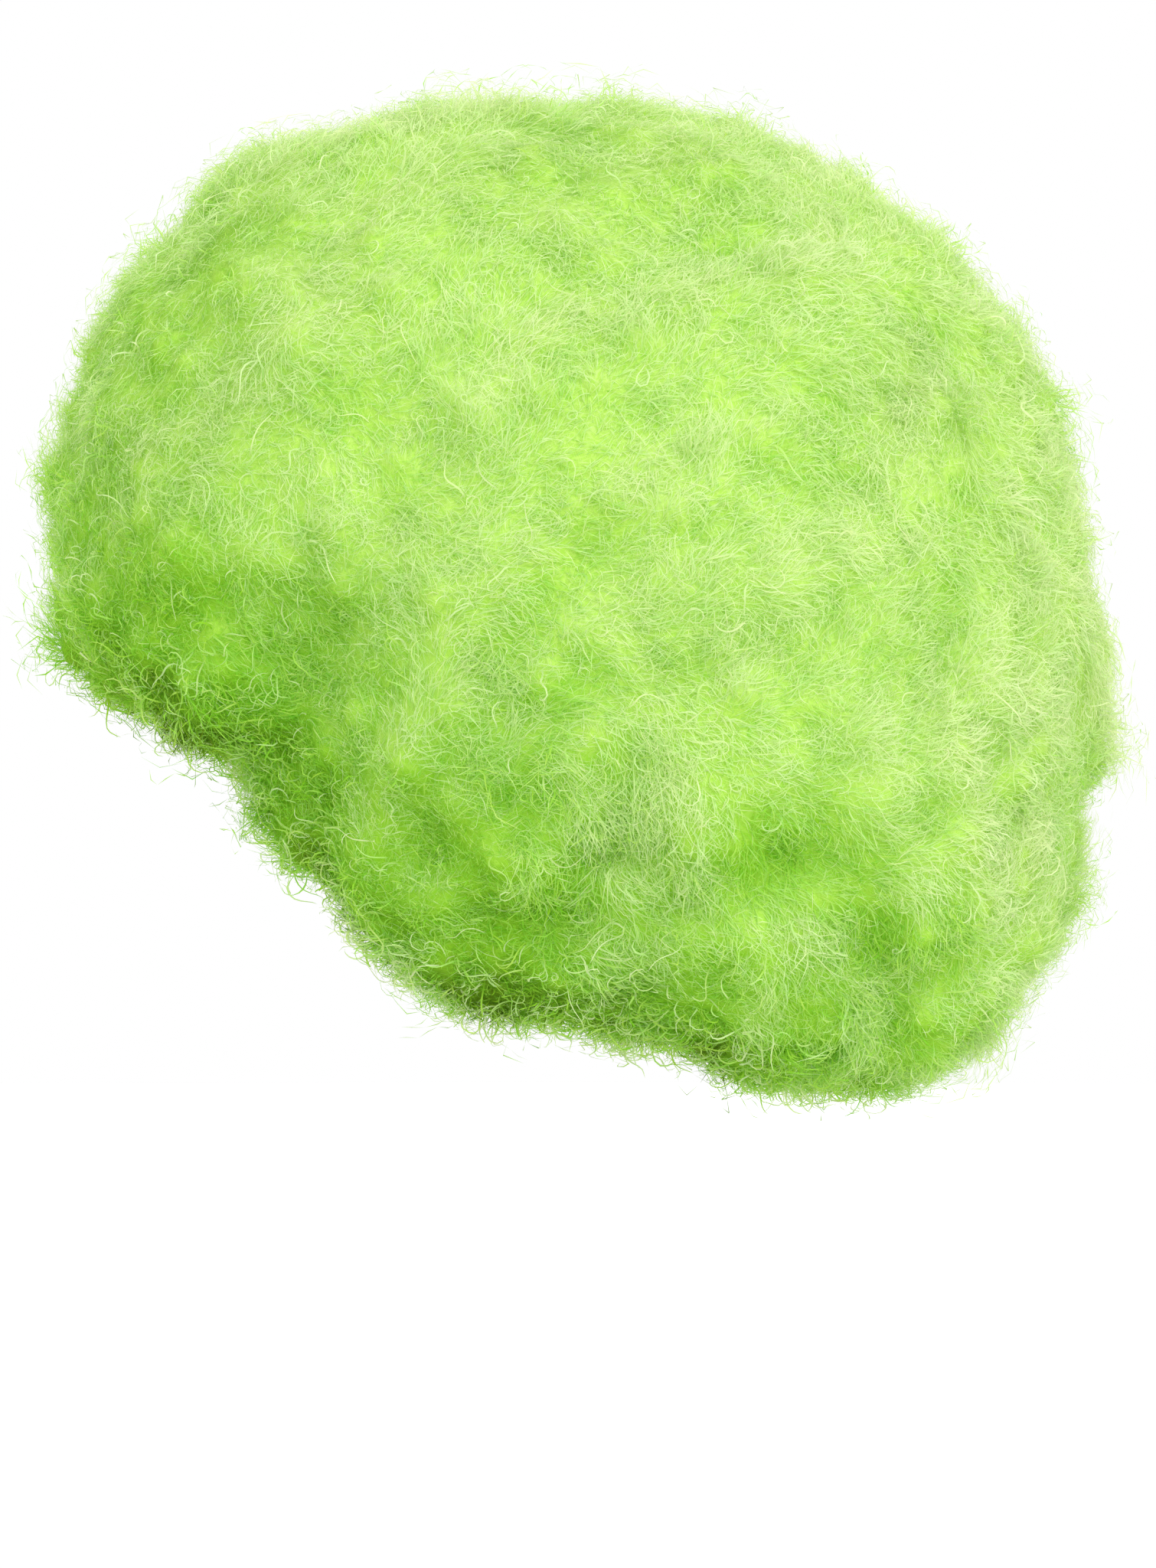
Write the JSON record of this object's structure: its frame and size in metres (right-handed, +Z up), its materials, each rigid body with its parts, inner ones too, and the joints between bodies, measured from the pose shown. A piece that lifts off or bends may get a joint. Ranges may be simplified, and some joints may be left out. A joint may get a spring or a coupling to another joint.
{
  "type": "cotton candy wig",
  "caption": "Big round fluffy teased wig: a deep mass of frizzy hair on a stretch cap with an elastic edge band, open at the face and neck, worn over an adult head.",
  "frame": {"origin": "inside top of the cap, where the crown of the head meets it", "axes": "+Z up, the wearer faces -Y, +X is the wearer's left"},
  "size_m": [0.3742, 0.3954, 0.3756],
  "materials": {
    "hair_fibre": "matte frizzy synthetic fibre, lime green",
    "cap_net": "matte stretch net",
    "band_elastic": "matte ribbed elastic"
  },
  "bodies": {
    "root": {"hair": "hair_fibre", "wig_cap": "cap_net", "edge_band": "band_elastic"}
  },
  "joints": []
}
